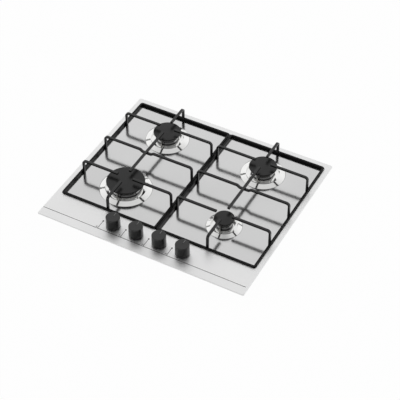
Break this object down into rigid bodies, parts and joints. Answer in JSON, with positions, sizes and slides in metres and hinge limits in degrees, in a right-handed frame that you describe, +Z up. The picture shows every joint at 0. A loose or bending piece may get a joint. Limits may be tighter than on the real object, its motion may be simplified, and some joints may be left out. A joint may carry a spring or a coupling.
{
  "type": "gas cooktop",
  "caption": "Built-in gas cooktop: sunken steel plate, round burners under black pan supports, and a row of push-and-turn knobs along the front edge.",
  "frame": {"origin": "centre of the base tray's underside", "axes": "+X right, +Y to the rear, +Z up, seen by the user standing in front of the knobs"},
  "size_m": [0.58, 0.51, 0.0835],
  "materials": {
    "stainless": "brushed",
    "zinc_sheet": "dull zinc-coated",
    "zinc_tube": "dull zinc-coated",
    "screw_steel": "bright zinc-coated",
    "pin_steel": "bright",
    "spring_steel": "bright",
    "spindle_steel": "turned",
    "brass": "turned",
    "copper": "drawn",
    "cast_aluminium": "cast",
    "crown_aluminium": "polished",
    "tap_aluminium": "cast",
    "aluminium_tube": "drawn",
    "black_enamel": "matt enamel",
    "support_enamel": "satin enamel",
    "knob_plastic": "satin",
    "inner_plastic": "moulded",
    "seal_rubber": "matt",
    "lead_silicone": "matt",
    "ceramic": "glazed ceramic"
  },
  "bodies": {
    "cooktop": {"hob_plate": "stainless", "worktop_seal": "seal_rubber", "base_tray": "zinc_sheet", "m4_screws": "screw_steel", "worktop_clamps": "zinc_sheet", "burner_cup_rear_left": "cast_aluminium", "burner_cup_rear_right": "cast_aluminium", "burner_cup_front_left": "cast_aluminium", "burner_cup_front_right": "cast_aluminium", "plate_fixings": "zinc_sheet", "injector_jets": "brass", "spark_ceramics": "ceramic", "spark_pins": "pin_steel", "thermocouples": "copper", "tap_body_1": "tap_aluminium", "tap_body_2": "tap_aluminium", "tap_body_3": "tap_aluminium", "tap_body_4": "tap_aluminium", "spindle_seals": "seal_rubber", "ignition_switches": "inner_plastic", "gas_manifold": "zinc_tube", "inlet_elbow": "brass", "feed_pipes": "aluminium_tube", "pipe_nuts": "brass", "spark_generator": "inner_plastic", "ignition_leads": "lead_silicone", "thermocouple_leads": "copper", "terminal_box": "inner_plastic"},
    "tap_plug_1_body": {"tap_plug_1": "brass", "tap_spring_1": "spring_steel"},
    "knob_1_body": {"tap_spindle_1": "spindle_steel", "knob_1": "knob_plastic"},
    "tap_plug_2_body": {"tap_plug_2": "brass", "tap_spring_2": "spring_steel"},
    "knob_2_body": {"tap_spindle_2": "spindle_steel", "knob_2": "knob_plastic"},
    "tap_plug_3_body": {"tap_plug_3": "brass", "tap_spring_3": "spring_steel"},
    "knob_3_body": {"tap_spindle_3": "spindle_steel", "knob_3": "knob_plastic"},
    "tap_plug_4_body": {"tap_plug_4": "brass", "tap_spring_4": "spring_steel"},
    "knob_4_body": {"tap_spindle_4": "spindle_steel", "knob_4": "knob_plastic"},
    "pan_support_left": {"support_frame_left": "support_enamel", "cross_fingers_left": "support_enamel", "long_fingers_left": "support_enamel", "support_feet_left": "seal_rubber"},
    "pan_support_right": {"support_frame_right": "support_enamel", "cross_fingers_right": "support_enamel", "long_fingers_right": "support_enamel", "support_feet_right": "seal_rubber"},
    "crown_rear_left_body": {"burner_crown_rear_left": "crown_aluminium"},
    "cap_rear_left_body": {"burner_cap_rear_left": "black_enamel"},
    "crown_rear_right_body": {"burner_crown_rear_right": "crown_aluminium"},
    "cap_rear_right_body": {"burner_cap_rear_right": "black_enamel"},
    "crown_front_left_body": {"burner_crown_front_left": "crown_aluminium"},
    "cap_front_left_body": {"burner_cap_front_left": "black_enamel"},
    "crown_front_right_body": {"burner_crown_front_right": "crown_aluminium"},
    "cap_front_right_body": {"burner_cap_front_right": "black_enamel"}
  },
  "joints": [
    {"name": "knob_turn_1", "type": "hinge", "parent": "cooktop", "child": "tap_plug_1_body", "pos_m": [-0.0978, -0.2045, 0.022], "axis": [0, 0, 1], "range_deg": [0, 210]},
    {"name": "knob_push_1", "type": "slide", "parent": "tap_plug_1_body", "child": "knob_1_body", "axis": [0, 0, -1], "range_m": [0, 0.003], "stiffness_N_per_m": 1200, "springref_m": -0.0025, "deforming": ["tap_spring_1"]},
    {"name": "knob_turn_2", "type": "hinge", "parent": "cooktop", "child": "tap_plug_2_body", "pos_m": [-0.0326, -0.2045, 0.022], "axis": [0, 0, 1], "range_deg": [0, 210]},
    {"name": "knob_push_2", "type": "slide", "parent": "tap_plug_2_body", "child": "knob_2_body", "axis": [0, 0, -1], "range_m": [0, 0.003], "stiffness_N_per_m": 1200, "springref_m": -0.0025, "deforming": ["tap_spring_2"]},
    {"name": "knob_turn_3", "type": "hinge", "parent": "cooktop", "child": "tap_plug_3_body", "pos_m": [0.0326, -0.2045, 0.022], "axis": [0, 0, 1], "range_deg": [0, 210]},
    {"name": "knob_push_3", "type": "slide", "parent": "tap_plug_3_body", "child": "knob_3_body", "axis": [0, 0, -1], "range_m": [0, 0.003], "stiffness_N_per_m": 1200, "springref_m": -0.0025, "deforming": ["tap_spring_3"]},
    {"name": "knob_turn_4", "type": "hinge", "parent": "cooktop", "child": "tap_plug_4_body", "pos_m": [0.0978, -0.2045, 0.022], "axis": [0, 0, 1], "range_deg": [0, 210]},
    {"name": "knob_push_4", "type": "slide", "parent": "tap_plug_4_body", "child": "knob_4_body", "axis": [0, 0, -1], "range_m": [0, 0.003], "stiffness_N_per_m": 1200, "springref_m": -0.0025, "deforming": ["tap_spring_4"]},
    {"name": "pan_support_left_lift", "type": "slide", "parent": "cooktop", "child": "pan_support_left", "axis": [0, 0, 1], "range_m": [0, 0.06]},
    {"name": "pan_support_right_lift", "type": "slide", "parent": "cooktop", "child": "pan_support_right", "axis": [0, 0, 1], "range_m": [0, 0.06]},
    {"name": "crown_rear_left_lift", "type": "slide", "parent": "cooktop", "child": "crown_rear_left_body", "axis": [0, 0, 1], "range_m": [0, 0.004]},
    {"name": "cap_rear_left_lift", "type": "slide", "parent": "crown_rear_left_body", "child": "cap_rear_left_body", "axis": [0, 0, 1], "range_m": [0, 0.004]},
    {"name": "crown_rear_right_lift", "type": "slide", "parent": "cooktop", "child": "crown_rear_right_body", "axis": [0, 0, 1], "range_m": [0, 0.004]},
    {"name": "cap_rear_right_lift", "type": "slide", "parent": "crown_rear_right_body", "child": "cap_rear_right_body", "axis": [0, 0, 1], "range_m": [0, 0.004]},
    {"name": "crown_front_left_lift", "type": "slide", "parent": "cooktop", "child": "crown_front_left_body", "axis": [0, 0, 1], "range_m": [0, 0.004]},
    {"name": "cap_front_left_lift", "type": "slide", "parent": "crown_front_left_body", "child": "cap_front_left_body", "axis": [0, 0, 1], "range_m": [0, 0.004]},
    {"name": "crown_front_right_lift", "type": "slide", "parent": "cooktop", "child": "crown_front_right_body", "axis": [0, 0, 1], "range_m": [0, 0.004]},
    {"name": "cap_front_right_lift", "type": "slide", "parent": "crown_front_right_body", "child": "cap_front_right_body", "axis": [0, 0, 1], "range_m": [0, 0.004]}
  ]
}
